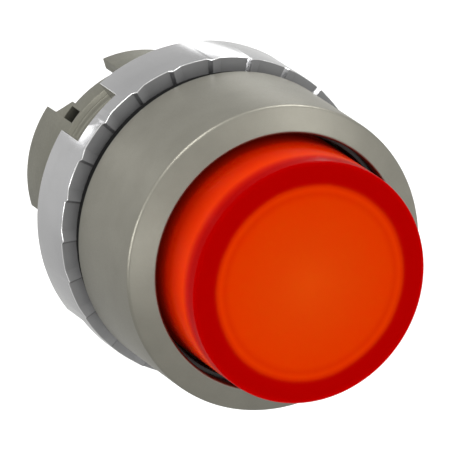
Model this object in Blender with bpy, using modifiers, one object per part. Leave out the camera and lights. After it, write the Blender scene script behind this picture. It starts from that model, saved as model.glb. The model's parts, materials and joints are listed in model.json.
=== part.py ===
"""Raised illuminated push button head for a 22 mm panel hole.

Every turned piece is drawn as (radius, depth) points, where depth runs along the button's axis: 0 is the
panel's front face, positive depths stand out of the panel towards the finger and negative depths are behind
it. An empty turns that axis onto world -Y, so the button faces -Y and is pressed towards +Y. Lengths are in
metres.
"""

import math

import bmesh
import bpy
from mathutils import Vector

MM = 0.001

# ---- driving dimensions ------------------------------------------------------------------------------------

GAP = 0.30 * MM  # clearance kept between pieces that touch on the real head
OVERCUT = 1.0 * MM  # how far a cutter runs past the piece it cuts

# threaded barrel, which every diameter follows from
THREAD_D = 22.0 * MM
THREAD_PITCH = 1.0 * MM
THREAD_DEPTH = 0.35 * MM
BARREL_WALL = 1.4 * MM
SHOULDER_WALL = 1.8 * MM
REAR_WALL = 1.1 * MM
FLANGE_T = 2.5 * MM
RIM_BEHIND_CIRCLIP = 2.6 * MM
PLAIN_END = 2.45 * MM

# bezel, the visible metal ring
BEZEL_RING_W = 2.45 * MM
BEZEL_WALL = 1.45 * MM
BEZEL_HEIGHT = 13.1 * MM
BEZEL_RIM_R = 1.2 * MM
BEZEL_FRONT_SLOPE = math.radians(30)
BEZEL_CHAMFER = 0.2 * MM
MOUTH_LIP = 1.8 * MM

# panel gasket
GASKET_T = 1.0 * MM
GASKET_INSET = 0.5 * MM
GASKET_CHAMFER = 0.15 * MM

# lens cap and travel
LENS_PAST_THREAD = 0.6 * MM
LENS_STANDS_OUT = 6.7 * MM
LENS_WALL = 2.0 * MM
LENS_FRONT_T = 2.3 * MM
LENS_EDGE_R = 0.35 * MM
LENS_MOUTH_GAP = 0.7 * MM
TRAVEL = 5.0 * MM

# bayonet lugs at the back of the barrel, angles in degrees
LUG_COUNT = 4
LUG_HALF_ANGLE = 26.4
LUG_LENGTH = 4.2 * MM
HOOK_ANGLE = 9.0
HOOK_ROOT = 2.1 * MM
HOOK_TIP = 0.65 * MM
POCKET_LENGTH = 1.8 * MM
POCKET_OVERLAP = 0.1 * MM
POCKET_WEB_ANGLE = 2.0

# ring nut, angles in degrees
NUT_WIDTH = 4.55 * MM
NUT_LENGTH = 6.4 * MM
NUT_SLOT_DEPTH = 4.0 * MM
NUT_SLOT_COUNT = 4
NUT_SLOT_HALF_ANGLE = 10.4
NUT_TEETH = 24
TOOTH_HEIGHT = 0.43 * MM
TOOTH_RAMP_ANGLE = 3.6
TOOTH_CREST_ANGLE = 0.4
NUT_CHAMFER = 0.25 * MM
NUT_TURN = 11.5  # how far the nut happens to be turned round its thread

# seals between bezel, barrel and lens
CLAMP_RING_T = 0.7 * MM
CLAMP_RING_RUN = 0.45 * MM
WIPER_T = 1.1 * MM
WIPER_LIP = 0.45 * MM
BUSH_RUN = 0.35 * MM
SEAL_CORD_R = 0.45 * MM
LENS_SEAL_CORD_R = 0.35 * MM
PLUNGER_SEAL_CORD_R = 0.40 * MM

# plunger and what it carries
HEAD_INTO_LENS = 3.2 * MM
HEAD_INTO_BARREL = 2.4 * MM
HEAD_RUN_IN_LENS = 0.40 * MM
HEAD_RUN_IN_BARREL = 0.45 * MM
HEAD_RIM_WALL = 1.2 * MM
TUBE_INSIDE_SHOULDER = 2.2 * MM
SPIGOT_STEP = 0.8 * MM
SPIGOT_WALL = 1.2 * MM
SPIGOT_PAST_CLIP = 0.8 * MM
RIB_W = 2.0 * MM
RIB_H = 0.4 * MM
RIB_ROOT = 0.5 * MM
RIB_PAST_TRAVEL = 2.4 * MM
REFLECTOR_T = 0.6 * MM
DIFFUSER_WALL = 1.0 * MM
DIFFUSER_EDGE_R = 0.9 * MM

# rear guide, clips, pusher and spring, split and leg angles in degrees
GUIDE_T = 1.7 * MM
CIRCLIP_T = 0.6 * MM
CIRCLIP_GRIP = 0.4 * MM
CIRCLIP_STANDS_IN = 1.0 * MM
CIRCLIP_SPLIT = 26.0
PUSHER_RUN = 0.4 * MM
PUSHER_T = 1.3 * MM
PUSHER_LEG_T = 0.8 * MM
PUSHER_LEG_INSET = 0.1 * MM
PUSHER_LEG_LENGTH = 3.5 * MM
PUSHER_LEG_HALF_ANGLE = 24.0
CLIP_T = 0.5 * MM
CLIP_STANDS_OUT = 0.9 * MM
CLIP_GROOVE = 0.4 * MM
CLIP_SPLIT = 70.0
SPLIT_CENTRE = 270
RIB_CENTRES = (90, 270)
PUSHER_LEG_CENTRES = (0, 180)
SPRING_WIRE_R = 0.40 * MM
SPRING_RUN = 0.40 * MM
SPRING_TURNS = 6
SPRING_SPARE = 0.1 * MM
SPRING_WASHER_T = 0.5 * MM

# facets round each kind of turned piece
STEPS_BEZEL = 64
STEPS_NUT = 72
STEPS_BARREL = 40
STEPS_INNER = 32
STEPS_CORD = 8
STEPS_LEG = 6
STEPS_EDGE = 3
STEPS_RIM = 5
SPRING_POINTS_PER_TURN = 14
NUT_FACET_SHIFT = 1.7  # degrees, keeps the nut's facet edges off the flanks of its teeth
RAMP_PAST_FACE = 1.08  # a tooth's ramp is cut on a little past the face, so that the cut is clean
MERGE = 0.01 * MM

# ---- radii that follow from the sizes ----------------------------------------------------------------------

THREAD_R = THREAD_D / 2
ROOT_R = THREAD_R - THREAD_DEPTH
BORE_R = THREAD_R - BARREL_WALL
SHOULDER_R = THREAD_R - SHOULDER_WALL
REAR_BORE_R = THREAD_R - REAR_WALL

LENS_R = THREAD_R + LENS_PAST_THREAD
LENS_BORE_R = LENS_R - LENS_WALL
MOUTH_R = LENS_R + LENS_MOUTH_GAP
BEZEL_R = MOUTH_R + BEZEL_RING_W
BEZEL_BORE_R = BEZEL_R - BEZEL_WALL
INSIDE_R = BEZEL_BORE_R - GAP
GASKET_R = BEZEL_R - GASKET_INSET
DIFFUSER_R = LENS_BORE_R - GAP

NUT_R = THREAD_R + NUT_WIDTH
NUT_BORE_R = THREAD_R + GAP

HEAD_FRONT_R = LENS_BORE_R - HEAD_RUN_IN_LENS
HEAD_BACK_R = BORE_R - HEAD_RUN_IN_BARREL
TUBE_R = SHOULDER_R - TUBE_INSIDE_SHOULDER
SPIGOT_R = TUBE_R - SPIGOT_STEP
CORE_R = SPIGOT_R - SPIGOT_WALL
SPRING_MEAN_R = TUBE_R + RIB_H + SPRING_RUN + SPRING_WIRE_R
CIRCLIP_R = REAR_BORE_R + CIRCLIP_GRIP
CIRCLIP_BORE_R = REAR_BORE_R - CIRCLIP_STANDS_IN
PUSHER_R = CIRCLIP_BORE_R - PUSHER_RUN
CLIP_R = SPIGOT_R + CLIP_STANDS_OUT

# ---- depths that follow from the sizes ---------------------------------------------------------------------

BEZEL_BACK = GASKET_T + GAP
BEZEL_FRONT = BEZEL_BACK + BEZEL_HEIGHT
CEILING = BEZEL_FRONT - MOUTH_LIP
FLANGE_FRONT = BEZEL_BACK + FLANGE_T
BEZEL_SEAL_DEPTH = (BEZEL_BACK + FLANGE_FRONT) / 2

# the wiper sits right behind the bezel's mouth, where the cap's skirt fills it at rest and when pressed
WIPER_FRONT = CEILING - GAP
WIPER_BACK = WIPER_FRONT - WIPER_T
CLAMP_FRONT = WIPER_BACK - GAP
CLAMP_BACK = CLAMP_FRONT - CLAMP_RING_T
BUSH_FRONT = CLAMP_BACK - GAP
BUSH_BACK = FLANGE_FRONT + GAP

LENS_FRONT = BEZEL_FRONT + LENS_STANDS_OUT
LENS_CEILING = LENS_FRONT - LENS_FRONT_T
LENS_BACK = FLANGE_FRONT + TRAVEL + 2 * GAP
HEAD_FRONT = LENS_BACK + HEAD_INTO_LENS
HEAD_STEP = LENS_BACK - GAP
HEAD_BACK = FLANGE_FRONT - HEAD_INTO_BARREL
LENS_SEAL_DEPTH = (LENS_BACK + HEAD_FRONT) / 2
PLUNGER_SEAL_DEPTH = (HEAD_BACK + FLANGE_FRONT) / 2
DIFFUSER_FRONT = LENS_CEILING - GAP
DIFFUSER_BACK = HEAD_FRONT + GAP

WASHER_FRONT = HEAD_BACK - GAP
WASHER_BACK = WASHER_FRONT - SPRING_WASHER_T
HEAD_BORE_END = WASHER_BACK - TRAVEL - 2 * GAP
SPRING_FRONT = WASHER_BACK - GAP
SPRING_CLOSED = 2 * SPRING_WIRE_R * (SPRING_TURNS + 1) + SPRING_SPARE
SPRING_BACK = SPRING_FRONT - TRAVEL - SPRING_CLOSED
GUIDE_FRONT = SPRING_BACK - GAP
GUIDE_BACK = GUIDE_FRONT - GUIDE_T
CIRCLIP_FRONT = GUIDE_BACK - GAP
CIRCLIP_BACK = CIRCLIP_FRONT - CIRCLIP_T
PUSHER_FRONT = GUIDE_BACK - GAP
PUSHER_BACK = PUSHER_FRONT - PUSHER_T
CLIP_FRONT = PUSHER_BACK - GAP
CLIP_BACK = CLIP_FRONT - CLIP_T
SPIGOT_END = CLIP_BACK - SPIGOT_PAST_CLIP

BARREL_RIM = CIRCLIP_BACK - RIM_BEHIND_CIRCLIP
THREAD_END = BARREL_RIM + PLAIN_END
LUG_END = BARREL_RIM - LUG_LENGTH

NUT_FRONT = -GAP
NUT_BACK = NUT_FRONT - NUT_LENGTH


# ---- helpers -----------------------------------------------------------------------------------------------


def clear_scene():
    for obj in list(bpy.data.objects):
        bpy.data.objects.remove(obj, do_unlink=True)


def make_collection(name):
    collection = bpy.data.collections.new(name)
    bpy.context.scene.collection.children.link(collection)
    return collection


def make_material(name, color, roughness, metallic=0.0):
    material = bpy.data.materials.new(name)
    material.use_nodes = True
    shader = material.node_tree.nodes["Principled BSDF"]
    shader.inputs["Base Color"].default_value = (*color, 1.0)
    shader.inputs["Roughness"].default_value = roughness
    shader.inputs["Metallic"].default_value = metallic
    return material


def add_object(name, data, collection, material=None, parent=None):
    obj = bpy.data.objects.new(name, data)
    collection.objects.link(obj)
    obj.parent = parent
    if material:
        data.materials.append(material)
    return obj


def arc(centre, radius, start, end, count):
    """Points on an arc of a profile, both ends included. Angles in degrees from +radius towards +depth."""
    points = []
    for i in range(count + 1):
        angle = math.radians(start + (end - start) * i / count)
        points.append((centre[0] + radius * math.cos(angle), centre[1] + radius * math.sin(angle)))
    return points


def spin(name, points, edges, steps, material, parent):
    """A line of (radius, depth) points, its outer side first and from front to back, spun round the axis."""
    mesh = bpy.data.meshes.new(name)
    mesh.from_pydata([(radius, 0.0, depth) for radius, depth in points], edges, [])
    obj = add_object(name, mesh, PARTS, material, parent)
    screw = obj.modifiers.new("Turn", "SCREW")
    screw.axis = "Z"
    screw.steps = steps
    screw.render_steps = steps
    screw.use_merge_vertices = True
    screw.merge_threshold = MERGE
    return obj


def turned(name, profile, steps, material, parent):
    """A ring-shaped piece from a closed profile."""
    count = len(profile)
    return spin(name, profile, [(i, (i + 1) % count) for i in range(count)], steps, material, parent)


def turned_cup(name, profile, front, ceiling, steps, material, parent):
    """A cup: its open profile runs on to the axis at both ends, so the front wall closes over the middle."""
    line = [(0.0, front)] + profile + [(0.0, ceiling)]
    return spin(name, line, [(i, i + 1) for i in range(len(line) - 1)], steps, material, parent)


def washer_profile(outer_r, inner_r, front, back, chamfer=0.0):
    """A ring of rectangular section, its two outer corners chamfered if asked."""
    if chamfer <= 0:
        return [(outer_r, front), (outer_r, back), (inner_r, back), (inner_r, front)]
    return [
        (outer_r - chamfer, front),
        (outer_r, front - chamfer),
        (outer_r, back + chamfer),
        (outer_r - chamfer, back),
        (inner_r, back),
        (inner_r, front),
    ]


def polar(radius, degrees, depth):
    angle = math.radians(degrees)
    return Vector((radius * math.cos(angle), radius * math.sin(angle), depth))


def add_sector(mesh_data, outline, inner_r, outer_r):
    """A solid between two radii whose sides follow an outline of (degrees, depth) points."""
    inner = [mesh_data.verts.new(polar(inner_r, degrees, depth)) for degrees, depth in outline]
    outer = [mesh_data.verts.new(polar(outer_r, degrees, depth)) for degrees, depth in outline]
    mesh_data.faces.new(inner)
    mesh_data.faces.new(list(reversed(outer)))
    for i in range(len(outline)):
        j = (i + 1) % len(outline)
        mesh_data.faces.new((inner[j], inner[i], outer[i], outer[j]))


def sector_cutter(name, outlines, inner_r, outer_r, parent):
    """One cutter made of several sector solids that don't touch."""
    mesh_data = bmesh.new()
    for outline in outlines:
        add_sector(mesh_data, outline, inner_r, outer_r)
    bmesh.ops.recalc_face_normals(mesh_data, faces=mesh_data.faces)
    mesh = bpy.data.meshes.new(name)
    mesh_data.to_mesh(mesh)
    mesh_data.free()
    cutter = add_object(name, mesh, CUTTERS, None, parent)
    cutter.hide_render = True
    cutter.display_type = "WIRE"
    return cutter


def box_sector(start, end, front, back):
    return [(start, front), (start, back), (end, back), (end, front)]


def boolean(obj, cutter, operation="DIFFERENCE"):
    modifier = obj.modifiers.new(cutter.name, "BOOLEAN")
    modifier.operation = operation
    modifier.solver = "EXACT"
    modifier.object = cutter


def cord_ring(name, centre_r, centre_depth, cord_r, material, parent):
    """A round-section seal ring."""
    profile = [
        (centre_r + cord_r * math.sin(turn), centre_depth + cord_r * math.cos(turn))
        for turn in (2 * math.pi * (i + 0.5) / STEPS_CORD for i in range(STEPS_CORD))
    ]
    return turned(name, profile, STEPS_INNER, material, parent)


def groove(floor_r, land_r, centre, half_width):
    """Profile points of a groove in an outer side, front to back."""
    return [
        (land_r, centre + half_width),
        (floor_r, centre + half_width),
        (floor_r, centre - half_width),
        (land_r, centre - half_width),
    ]


def head_core_r(depth):
    """Radius of the plunger's light cone at a depth."""
    share = (depth - HEAD_BACK) / (HEAD_FRONT - HEAD_BACK)
    return CORE_R + share * (HEAD_FRONT_R - HEAD_RIM_WALL - CORE_R)


# ---- fixed pieces ------------------------------------------------------------------------------------------


def make_bezel():
    rim_centre_r = BEZEL_R - BEZEL_RIM_R
    lip_r = MOUTH_R + BEZEL_CHAMFER
    slope_end_r = rim_centre_r + BEZEL_RIM_R * math.sin(BEZEL_FRONT_SLOPE)
    slope_end = BEZEL_FRONT - (slope_end_r - lip_r) * math.tan(BEZEL_FRONT_SLOPE)
    rim_centre = (rim_centre_r, slope_end - BEZEL_RIM_R * math.cos(BEZEL_FRONT_SLOPE))
    rim = arc(rim_centre, BEZEL_RIM_R, 90 - math.degrees(BEZEL_FRONT_SLOPE), 0, STEPS_RIM)
    profile = [(lip_r, BEZEL_FRONT)]
    profile += rim
    profile += [
        (BEZEL_R, BEZEL_BACK + BEZEL_CHAMFER),
        (BEZEL_R - BEZEL_CHAMFER, BEZEL_BACK),
        (BEZEL_BORE_R, BEZEL_BACK),
        (BEZEL_BORE_R, CEILING),
        (MOUTH_R, CEILING),
        (MOUTH_R, BEZEL_FRONT - BEZEL_CHAMFER),
    ]
    return turned("bezel", profile, STEPS_BEZEL, SATIN_METAL, AXIS)


def make_guide_bush():
    profile = washer_profile(INSIDE_R, LENS_R + BUSH_RUN, BUSH_FRONT, BUSH_BACK)
    return turned("guide_bush", profile, STEPS_INNER, BLACK_PLASTIC, AXIS)


def make_wiper_seal():
    lip_tip = LENS_R + GAP
    root_r = LENS_R + BUSH_RUN
    profile = [
        (INSIDE_R, WIPER_FRONT),
        (INSIDE_R, WIPER_BACK),
        (root_r, WIPER_BACK),
        (root_r, WIPER_FRONT - 2 * WIPER_LIP),
        (lip_tip, WIPER_FRONT - WIPER_LIP),
        (lip_tip, WIPER_FRONT),
    ]
    return turned("wiper_seal", profile, STEPS_INNER, RUBBER, AXIS)


def make_seal_clamp_ring():
    profile = washer_profile(INSIDE_R, LENS_R + CLAMP_RING_RUN, CLAMP_FRONT, CLAMP_BACK)
    return turned("seal_clamp_ring", profile, STEPS_INNER, ZINC, AXIS)


def thread_points():
    """Crests and roots of the ring-shaped ridges that stand for the thread, front to back."""
    points = []
    count = int((-GAP - THREAD_END) / THREAD_PITCH)
    start = THREAD_END + count * THREAD_PITCH
    for i in range(count):
        top = start - i * THREAD_PITCH
        points.append((ROOT_R, top))
        points.append((THREAD_R, top - THREAD_PITCH / 2))
    points.append((ROOT_R, THREAD_END))
    return points


def barrel_profile():
    groove_floor = INSIDE_R - 2 * SEAL_CORD_R - GAP
    profile = [(INSIDE_R, FLANGE_FRONT)]
    profile += groove(groove_floor, INSIDE_R, BEZEL_SEAL_DEPTH, SEAL_CORD_R + GAP)
    profile += [(INSIDE_R, BEZEL_BACK), (ROOT_R, BEZEL_BACK)]
    profile += thread_points()
    profile += [
        (THREAD_R, THREAD_END - THREAD_DEPTH),
        (THREAD_R, LUG_END),
        (REAR_BORE_R, LUG_END),
        (REAR_BORE_R, CIRCLIP_BACK - GAP),
        (CIRCLIP_R, CIRCLIP_BACK - GAP),
        (CIRCLIP_R, CIRCLIP_FRONT + GAP),
        (REAR_BORE_R, CIRCLIP_FRONT + GAP),
        (REAR_BORE_R, GUIDE_FRONT + GAP),
        (SHOULDER_R, GUIDE_FRONT + GAP),
        (SHOULDER_R, HEAD_BORE_END),
        (BORE_R, HEAD_BORE_END),
        (BORE_R, FLANGE_FRONT),
    ]
    return profile


def lug_gap_outline(gap_start, gap_end):
    """The space between two lugs, less the ramped hook that stands out of the lug at its far side."""
    past_end = LUG_END - OVERCUT
    return [
        (gap_start, BARREL_RIM),
        (gap_start, past_end),
        (gap_end, past_end),
        (gap_end, BARREL_RIM - HOOK_ROOT),
        (gap_end - HOOK_ANGLE, BARREL_RIM - HOOK_TIP),
        (gap_end - HOOK_ANGLE, BARREL_RIM),
    ]


def make_barrel():
    barrel = turned("barrel", barrel_profile(), STEPS_BARREL, CAST_METAL, AXIS)
    pitch = 360 / LUG_COUNT
    gaps = []
    pockets = []
    for i in range(LUG_COUNT):
        gap_start = i * pitch + LUG_HALF_ANGLE
        gap_end = (i + 1) * pitch - LUG_HALF_ANGLE
        gaps.append(lug_gap_outline(gap_start, gap_end))
        pocket_start = gap_end - HOOK_ANGLE + POCKET_WEB_ANGLE
        pocket_front = BARREL_RIM + POCKET_LENGTH
        pockets.append(box_sector(pocket_start, gap_end, pocket_front, BARREL_RIM - POCKET_OVERLAP))
    inner_r = REAR_BORE_R - OVERCUT
    outer_r = THREAD_R + OVERCUT
    boolean(barrel, sector_cutter("lug_gaps", gaps, inner_r, outer_r, AXIS))
    boolean(barrel, sector_cutter("hook_pockets", pockets, inner_r, outer_r, AXIS))
    return barrel


def make_bezel_seal():
    centre_r = INSIDE_R - SEAL_CORD_R
    return cord_ring("bezel_seal", centre_r, BEZEL_SEAL_DEPTH, SEAL_CORD_R, RUBBER, AXIS)


def make_panel_gasket():
    profile = washer_profile(GASKET_R, THREAD_R + GAP, GASKET_T, 0.0, GASKET_CHAMFER)
    return turned("panel_gasket", profile, STEPS_BEZEL, RUBBER, AXIS)


def make_rear_guide():
    """The spring's rear seat, keyed to the plunger's two ribs so the cap can't turn."""
    bore_r = TUBE_R + GAP
    profile = washer_profile(REAR_BORE_R - GAP, bore_r, GUIDE_FRONT, GUIDE_BACK)
    guide = turned("rear_guide", profile, STEPS_INNER, BLACK_PLASTIC, AXIS)
    keyway_half = math.degrees((RIB_W / 2 + GAP) / TUBE_R)
    front = GUIDE_FRONT + OVERCUT
    back = GUIDE_BACK - OVERCUT
    ways = [box_sector(centre - keyway_half, centre + keyway_half, front, back) for centre in RIB_CENTRES]
    boolean(guide, sector_cutter("guide_keyways", ways, TUBE_R - OVERCUT, TUBE_R + RIB_H + GAP, AXIS))
    return guide


def split_ring(ring, name, width, inner_r, outer_r, front, back, parent):
    """Opens a ring at the bottom by a slot so many degrees wide."""
    half = width / 2
    slot = box_sector(SPLIT_CENTRE - half, SPLIT_CENTRE + half, front + OVERCUT, back - OVERCUT)
    reach = (outer_r + OVERCUT) / math.cos(math.radians(half))  # the cutter's outer side is flat
    boolean(ring, sector_cutter(name, [slot], inner_r - OVERCUT, reach, parent))
    return ring


def make_guide_circlip():
    outer_r = CIRCLIP_R - GAP
    profile = washer_profile(outer_r, CIRCLIP_BORE_R, CIRCLIP_FRONT, CIRCLIP_BACK)
    circlip = turned("guide_circlip", profile, STEPS_INNER, STEEL, AXIS)
    return split_ring(circlip, "circlip_split", CIRCLIP_SPLIT, CIRCLIP_BORE_R, outer_r,
                      CIRCLIP_FRONT, CIRCLIP_BACK, AXIS)


# ---- ring nut ----------------------------------------------------------------------------------------------


def tooth_valley(crest):
    """The hollow from one tooth's steep side to the next tooth's crest, rising up that tooth's ramp."""
    base = NUT_FRONT - TOOTH_HEIGHT
    ramp_start = crest + 360 / NUT_TEETH - TOOTH_CREST_ANGLE - TOOTH_RAMP_ANGLE
    return [
        (crest, base + RAMP_PAST_FACE * TOOTH_HEIGHT),
        (crest, base),
        (ramp_start, base),
        (ramp_start + RAMP_PAST_FACE * TOOTH_RAMP_ANGLE, base + RAMP_PAST_FACE * TOOTH_HEIGHT),
    ]


def make_ring_nut():
    profile = washer_profile(NUT_R, NUT_BORE_R, NUT_FRONT, NUT_BACK, NUT_CHAMFER)
    nut = turned("ring_nut", profile, STEPS_NUT, BRIGHT_METAL, NUT_AXIS)
    nut.rotation_euler.z = math.radians(NUT_FACET_SHIFT)
    inner_r = NUT_BORE_R - OVERCUT
    outer_r = NUT_R + OVERCUT
    valleys = [tooth_valley(i * 360 / NUT_TEETH) for i in range(NUT_TEETH)]
    boolean(nut, sector_cutter("tooth_valleys", valleys, inner_r, outer_r, NUT_AXIS))
    slots = []
    for i in range(NUT_SLOT_COUNT):
        centre = (i + 0.5) * 360 / NUT_SLOT_COUNT
        slots.append(box_sector(centre - NUT_SLOT_HALF_ANGLE, centre + NUT_SLOT_HALF_ANGLE,
                                NUT_BACK + NUT_SLOT_DEPTH, NUT_BACK - OVERCUT))
    boolean(nut, sector_cutter("spanner_slots", slots, inner_r, outer_r, NUT_AXIS))
    return nut


# ---- pieces that travel with the button --------------------------------------------------------------------


def make_lens_cap():
    edge_centre = (LENS_R - LENS_EDGE_R, LENS_FRONT - LENS_EDGE_R)
    profile = arc(edge_centre, LENS_EDGE_R, 90, 0, STEPS_EDGE)
    profile += [(LENS_R, LENS_BACK), (LENS_BORE_R, LENS_BACK), (LENS_BORE_R, LENS_CEILING)]
    return turned_cup("lens_cap", profile, LENS_FRONT, LENS_CEILING, STEPS_BEZEL, RED_LENS, PRESS)


def make_diffuser():
    edge_centre = (DIFFUSER_R - DIFFUSER_EDGE_R, DIFFUSER_FRONT - DIFFUSER_EDGE_R)
    inner_r = DIFFUSER_R - DIFFUSER_WALL
    ceiling = DIFFUSER_FRONT - DIFFUSER_WALL
    profile = arc(edge_centre, DIFFUSER_EDGE_R, 90, 0, STEPS_EDGE)
    profile += [(DIFFUSER_R, DIFFUSER_BACK), (inner_r, DIFFUSER_BACK), (inner_r, ceiling)]
    return turned_cup("diffuser", profile, DIFFUSER_FRONT, ceiling, STEPS_INNER, MILKY_PLASTIC, PRESS)


def make_lens_seal():
    centre_r = LENS_BORE_R - GAP - LENS_SEAL_CORD_R
    return cord_ring("lens_seal", centre_r, LENS_SEAL_DEPTH, LENS_SEAL_CORD_R, RUBBER, PRESS)


def make_plunger_seal():
    centre_r = BORE_R - GAP - PLUNGER_SEAL_CORD_R
    return cord_ring("plunger_seal", centre_r, PLUNGER_SEAL_DEPTH, PLUNGER_SEAL_CORD_R, RUBBER, PRESS)


def make_reflector():
    front = HEAD_FRONT - GAP
    back = HEAD_BACK + GAP
    outer_front = head_core_r(front) - GAP
    outer_back = head_core_r(back) - GAP
    profile = [
        (outer_front, front),
        (outer_back, back),
        (outer_back - REFLECTOR_T, back),
        (outer_front - REFLECTOR_T, front),
    ]
    return turned("reflector", profile, STEPS_INNER, WHITE_PLASTIC, PRESS)


def make_plunger():
    lens_floor = LENS_BORE_R - 2 * GAP - 2 * LENS_SEAL_CORD_R
    seal_floor = BORE_R - 2 * GAP - 2 * PLUNGER_SEAL_CORD_R
    clip_floor = SPIGOT_R - CLIP_GROOVE
    profile = [(HEAD_FRONT_R, HEAD_FRONT)]
    profile += groove(lens_floor, HEAD_FRONT_R, LENS_SEAL_DEPTH, LENS_SEAL_CORD_R + GAP)
    profile += [(HEAD_FRONT_R, HEAD_STEP), (HEAD_BACK_R, HEAD_STEP)]
    profile += groove(seal_floor, HEAD_BACK_R, PLUNGER_SEAL_DEPTH, PLUNGER_SEAL_CORD_R + GAP)
    profile += [
        (HEAD_BACK_R, HEAD_BACK),
        (TUBE_R, HEAD_BACK),
        (TUBE_R, GUIDE_BACK),
        (SPIGOT_R, GUIDE_BACK),
        (SPIGOT_R, CLIP_FRONT + GAP),
        (clip_floor, CLIP_FRONT + GAP),
        (clip_floor, CLIP_BACK - GAP),
        (SPIGOT_R, CLIP_BACK - GAP),
        (SPIGOT_R, SPIGOT_END),
        (CORE_R, SPIGOT_END),
        (CORE_R, HEAD_BACK),
        (head_core_r(HEAD_FRONT), HEAD_FRONT),
    ]
    plunger = turned("plunger", profile, STEPS_INNER, WHITE_PLASTIC, PRESS)
    half = math.degrees(RIB_W / 2 / TUBE_R)
    rib_front = GUIDE_BACK + TRAVEL + RIB_PAST_TRAVEL
    ribs = [box_sector(centre - half, centre + half, rib_front, GUIDE_BACK) for centre in RIB_CENTRES]
    boolean(plunger, sector_cutter("plunger_ribs", ribs, TUBE_R - RIB_ROOT, TUBE_R + RIB_H, PRESS), "UNION")
    return plunger


def make_spring_washer():
    profile = washer_profile(BORE_R - 2 * GAP, TUBE_R + GAP, WASHER_FRONT, WASHER_BACK)
    return turned("spring_washer", profile, STEPS_INNER, STEEL, PRESS)


def make_pusher_ring():
    """Clips on the back of the plunger, stops it at the rear guide and presses the switches with two legs."""
    profile = washer_profile(PUSHER_R, SPIGOT_R + GAP, PUSHER_FRONT, PUSHER_BACK)
    ring = turned("pusher_ring", profile, STEPS_INNER, BLACK_PLASTIC, PRESS)
    leg_r = PUSHER_R - PUSHER_LEG_INSET
    leg_front = (PUSHER_FRONT + PUSHER_BACK) / 2
    leg_end = PUSHER_BACK - PUSHER_LEG_LENGTH
    half = PUSHER_LEG_HALF_ANGLE
    spans = [(centre - half, centre + half) for centre in PUSHER_LEG_CENTRES]
    legs = curved_slabs("pusher_legs", spans, leg_r - PUSHER_LEG_T, leg_r, leg_front, leg_end)
    boolean(ring, legs, "UNION")
    return ring


def curved_slabs(name, spans, inner_r, outer_r, front, back):
    """Curved slabs, one for each (start, end) span in degrees."""
    mesh_data = bmesh.new()
    for start, end in spans:
        columns = []
        for i in range(STEPS_LEG + 1):
            degrees = start + (end - start) * i / STEPS_LEG
            corners = [(inner_r, front), (outer_r, front), (outer_r, back), (inner_r, back)]
            columns.append([mesh_data.verts.new(polar(radius, degrees, depth)) for radius, depth in corners])
        for i in range(STEPS_LEG):
            for j in range(len(corners)):
                k = (j + 1) % len(corners)
                mesh_data.faces.new((columns[i][j], columns[i][k], columns[i + 1][k], columns[i + 1][j]))
        mesh_data.faces.new(columns[0])
        mesh_data.faces.new(columns[-1])
    bmesh.ops.recalc_face_normals(mesh_data, faces=mesh_data.faces)
    mesh = bpy.data.meshes.new(name)
    mesh_data.to_mesh(mesh)
    mesh_data.free()
    guide = add_object(name, mesh, CUTTERS, None, PRESS)
    guide.hide_render = True
    guide.display_type = "WIRE"
    return guide


def make_pusher_clip():
    inner_r = SPIGOT_R - CLIP_GROOVE + GAP
    profile = washer_profile(CLIP_R, inner_r, CLIP_FRONT, CLIP_BACK)
    clip = turned("pusher_clip", profile, STEPS_INNER, STEEL, PRESS)
    return split_ring(clip, "clip_split", CLIP_SPLIT, inner_r, CLIP_R, CLIP_FRONT, CLIP_BACK, PRESS)


def make_return_spring():
    """A round-wire compression spring between the washer and the rear guide."""
    curve = bpy.data.curves.new("return_spring", "CURVE")
    curve.dimensions = "3D"
    curve.bevel_depth = SPRING_WIRE_R
    curve.bevel_resolution = 2
    curve.use_fill_caps = True
    count = SPRING_TURNS * SPRING_POINTS_PER_TURN
    spline = curve.splines.new("POLY")
    spline.points.add(count)
    first = SPRING_FRONT - SPRING_WIRE_R
    last = SPRING_BACK + SPRING_WIRE_R
    for i in range(count + 1):
        point = polar(SPRING_MEAN_R, 360 * i / SPRING_POINTS_PER_TURN, first + (last - first) * i / count)
        spline.points[i].co = (*point, 1.0)
    return add_object("return_spring", curve, PARTS, STEEL, PRESS)


# ---- assembly ----------------------------------------------------------------------------------------------

clear_scene()
PARTS = make_collection("push_button_head")
CUTTERS = make_collection("cutters")

SATIN_METAL = make_material("satin_metal", (0.27, 0.26, 0.22), 0.42, 0.85)
CAST_METAL = make_material("cast_metal", (0.20, 0.20, 0.17), 0.55, 0.6)
BRIGHT_METAL = make_material("bright_metal", (0.62, 0.62, 0.63), 0.28, 1.0)
ZINC = make_material("zinc_plate", (0.55, 0.56, 0.58), 0.4, 1.0)
STEEL = make_material("spring_steel", (0.42, 0.42, 0.44), 0.3, 1.0)
RUBBER = make_material("black_rubber", (0.012, 0.012, 0.012), 0.7)
BLACK_PLASTIC = make_material("black_plastic", (0.02, 0.02, 0.022), 0.3)
WHITE_PLASTIC = make_material("white_plastic", (0.78, 0.78, 0.75), 0.4)
MILKY_PLASTIC = make_material("milky_plastic", (0.85, 0.80, 0.72), 0.5)
RED_LENS = make_material("red_lens", (0.72, 0.03, 0.0), 0.15)

AXIS = add_object("button_axis", None, PARTS)
AXIS.rotation_euler = (math.radians(90), 0.0, 0.0)
PRESS = add_object("press_axis", None, PARTS, None, AXIS)
NUT_AXIS = add_object("nut_axis", None, PARTS, None, AXIS)
NUT_AXIS.rotation_euler = (0.0, 0.0, math.radians(NUT_TURN))

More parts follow.
